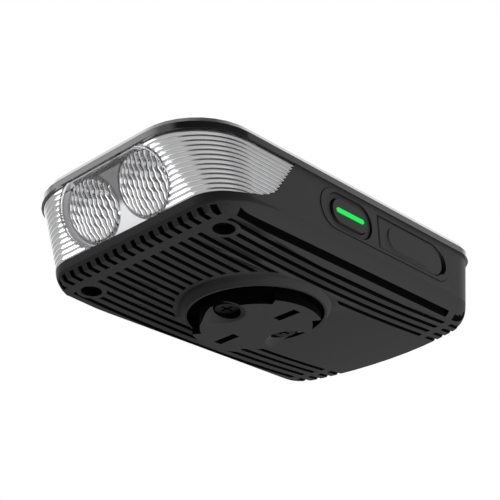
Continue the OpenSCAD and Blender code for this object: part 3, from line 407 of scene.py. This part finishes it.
def optic_piece(name, node, x):
    """Fluted disc in the plane of the lens face, spun with its rim, and a cone back to the lamp."""
    work = bmesh.new()
    valley = work.verts.layers.float.new("valley")
    rim_depth = OPTIC_FRONT + OPTIC_RIM
    outline = [(0, OPTIC_FRONT), (OPTIC_R, OPTIC_FRONT), (OPTIC_R, rim_depth), (CONE_R, rim_depth)]
    corners = [work.verts.new((r, 0, depth)) for r, depth in outline]
    edges = [work.edges.new(pair) for pair in zip(corners, corners[1:])]
    bmesh.ops.subdivide_edges(work, edges=edges[:1], cuts=RINGS - 1)
    bmesh.ops.spin(
        work, geom=work.verts[:] + work.edges[:], cent=(0, 0, 0), axis=(0, 0, 1),
        angle=2 * math.pi, steps=SPOKES, use_merge=True,
    )
    bmesh.ops.remove_doubles(work, verts=work.verts, dist=WELD)
    for vert in work.verts:
        if vert.co.z < OPTIC_FRONT + HAIR:
            crest = flute(vert.co.x, vert.co.y)
            vert[valley] = 1 - crest
            share = math.hypot(vert.co.x, vert.co.y) / OPTIC_R
            rounding = step(EDGE_START, 1.0, share)
            vert.co.z += FLUTE_H * (1 - crest) + OPTIC_DOME * share ** 2 + EDGE_DROP * rounding ** 2
            vert.co.xy *= 1 - EDGE_DRAW * rounding * (1 - crest)
    bmesh.ops.transform(
        work, verts=work.verts,
        matrix=Matrix.Translation((x, LENS_MID.y, LENS_MID.z))
        @ Matrix.Rotation(LENS_RAKE - math.pi / 2, 4, "X"),
    )
    mouth = [edge for edge in work.edges if edge.is_boundary]
    made = bmesh.ops.extrude_edge_only(work, edges=mouth)["geom"]
    for vert in (item for item in made if isinstance(item, bmesh.types.BMVert)):
        vert.co = (
            x + (vert.co.x - x) * FOOT_R / CONE_R, FOOT_Y,
            LENS_MID.z + (vert.co.z - LENS_MID.z) * FOOT_R / CONE_R,
        )
    foot = [edge for edge in work.edges if edge.is_boundary]
    bmesh.ops.contextual_create(work, geom=foot)
    for vert in work.verts:
        vert.co.z = min(vert.co.z, OPTIC_TOP)
    bmesh.ops.recalc_face_normals(work, faces=work.faces)
    bmesh.ops.scale(work, vec=(MM, MM, MM), verts=work.verts)
    place_piece(smooth_mesh(work, name, 50), name, "lamp", node, "clear", optic_clear)


optic_piece("left_optic", "optic_left", -OPTIC_X)
optic_piece("right_optic", "optic_right", OPTIC_X)

# Top cover: moulded glossy black plate with a bevelled edge and a skirt inside the walls.
# Posts under it take the two long screws.
gloss_black = finish("gloss_black", (0.008, 0.008, 0.009), 0.08, coat=1.0)
rounded_copy("top_cover", "top_plate", "lamp", "gloss_black", gloss_black)

# Controls: a soft rubber strip let into the side wall, with the long button in it
# and the port cover on a strap; the lit bar in the button is a clear light guide.
control_rubber = finish("control_rubber", (0.018, 0.018, 0.0185), 0.6, grain=0.01, gloss=0.35)
# The strip's rounded edges take the near-black painted shade, for the shadow in the gap round it.
rounded_copy(
    "control_strip", "side_strip", "lamp", "control_rubber", control_rubber, painted_shade_black,
    edge=0.2, painted_shade_edge=True,
)
rounded_copy("power_button", "button", "button", "control_rubber", control_rubber, edge=0.15)
rounded_copy("port_flap", "port_cover", "flap", "control_rubber", control_rubber, edge=0.15)
green_light = finish("green_light", (0.002, 0.04, 0.005), 0.4, gloss=0.05)
glow = green_light.node_tree.nodes["Principled BSDF"]
glow.inputs["Emission Color"].default_value = (0.009, 0.83, 0.098, 1)
glow.inputs["Emission Strength"].default_value = 1.0
rounded_copy("button_light_bar", "light_bar", "button", "green_light", green_light)

# Inside, out of sight: seal, boards and their parts, heat bracket, battery and brass inserts.
# They are the CAD solids as they are, each with the finish of its kind.
inner_finishes = {
    "seal_rubber": ((0.02, 0.02, 0.02), 0.7, 0.0, ["cover_seal"]),
    "chip_yellow": ((0.85, 0.70, 0.20), 0.5, 0.0, ["led_left", "led_right"]),
    "lamp_board_white": ((0.80, 0.80, 0.78), 0.45, 0.0, ["lamp_board"]),
    "bare_alloy": ((0.55, 0.56, 0.58), 0.4, 1.0, ["heat_bracket"]),
    "flex_amber": ((0.55, 0.28, 0.07), 0.4, 0.0, ["lamp_flex"]),
    "board_green": ((0.03, 0.20, 0.07), 0.4, 0.0, ["driver_board", "control_board", "battery_board"]),
    "chip_black": ((0.02, 0.02, 0.02), 0.5, 0.0, ["driver_chip", "board_header"]),
    "ferrite": ((0.06, 0.06, 0.065), 0.6, 0.0, ["driver_inductor"]),
    "switch_grey": ((0.15, 0.15, 0.16), 0.5, 0.0, ["tact_switch", "switch_stem"]),
    "indicator": ((0.60, 0.85, 0.65), 0.4, 0.0, ["status_leds"]),
    "steel": ((0.60, 0.60, 0.62), 0.3, 1.0, ["usb_socket"]),
    "tray_grey": ((0.08, 0.085, 0.09), 0.55, 0.0, ["battery_tray"]),
    "cell_foil": ((0.45, 0.46, 0.48), 0.35, 0.9, ["battery_cell_lower", "battery_cell_upper"]),
    "foam": ((0.05, 0.05, 0.055), 0.9, 0.0, ["battery_pad"]),
    "brass": ((0.55, 0.38, 0.12), 0.3, 1.0, ["mount_inserts"]),
}
for slot, (colour, roughness, metallic, nodes) in inner_finishes.items():
    surface = finish(slot, colour, roughness, metallic)
    for node in nodes:
        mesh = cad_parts[node].data
        mesh.materials.clear()
        mesh.materials.append(surface)

# Stage: a pale floor far below, and surroundings with a bright window at the front left and a dark side.
# A low lamp on the control side lights the underside and stays out of reflections.
# A second one, low in front, shows in reflections only. Past the floor the camera sees plain white.
FLOOR_Z = -0.6
bpy.ops.mesh.primitive_plane_add(size=8, location=(0, 0, FLOOR_Z))
floor = bpy.context.object
floor.name = "floor"
floor.data.materials.append(finish("floor_pale", (0.5, 0.5, 0.5), 0.9, grain_size=20))


def area_light(name, place, shape, size, energy):
    """A flat lamp at a place, turned towards the object."""
    data = bpy.data.lights.new(name, "AREA")
    data.shape = shape
    data.size = size
    data.energy = energy
    light = bpy.data.objects.new(name, data)
    bpy.context.scene.collection.objects.link(light)
    light.location = place
    light.rotation_euler = Vector(place).to_track_quat("Z", "Y").to_euler()
    return light


low_side = area_light("low_side", (0.56, 0.28, -0.28), "DISK", 0.5, 8.0)
low_side.visible_glossy = False
front_low = area_light("front_low", (-0.30, -0.37, -0.15), "SQUARE", 0.25, 0.6)
front_low.visible_diffuse = False
world = bpy.data.worlds.new("studio")
bpy.context.scene.world = world
world.use_nodes = True
tree = world.node_tree
sky = tree.nodes["Background"]
direction = tree.nodes.new("ShaderNodeTexCoord").outputs["Generated"]


def patch(towards, inner, outer, low, high):
    """A soft round patch of the surroundings: high inside the inner angle, low outside the outer one."""
    dot = tree.nodes.new("ShaderNodeVectorMath")
    dot.operation = "DOT_PRODUCT"
    dot.inputs[1].default_value = Vector(towards).normalized()
    tree.links.new(direction, dot.inputs[0])
    limits = [math.cos(math.radians(angle)) for angle in (outer, inner)]
    return ramp(tree, dot.outputs["Value"], *limits, low, high)


overhead = patch((0, 0, 1), 35, 85, 0.35, 1.0)
behind = patch((-0.62, 0.64, 0.45), 30, 65, 0.0, 0.8)
window = patch((-0.60, -0.66, 0.45), 8, 26, 0.0, 1.0)
dark_side = patch((0.87, -0.25, 0.40), 50, 64, 1.0, 0.06)
bright = combine(tree, "ADD", combine(tree, "ADD", overhead, behind), window)
sky.inputs["Color"].default_value = (1, 1, 1, 1)
tree.links.new(combine(tree, "MULTIPLY", bright, dark_side), sky.inputs["Strength"])
backdrop = tree.nodes.new("ShaderNodeBackground")
backdrop.inputs["Color"].default_value = (1, 1, 1, 1)
choice = tree.nodes.new("ShaderNodeMixShader")
tree.links.new(tree.nodes.new("ShaderNodeLightPath").outputs["Is Camera Ray"], choice.inputs["Fac"])
tree.links.new(sky.outputs["Background"], choice.inputs[1])
tree.links.new(backdrop.outputs["Background"], choice.inputs[2])
tree.links.new(choice.outputs["Shader"], tree.nodes["World Output"].inputs["Surface"])
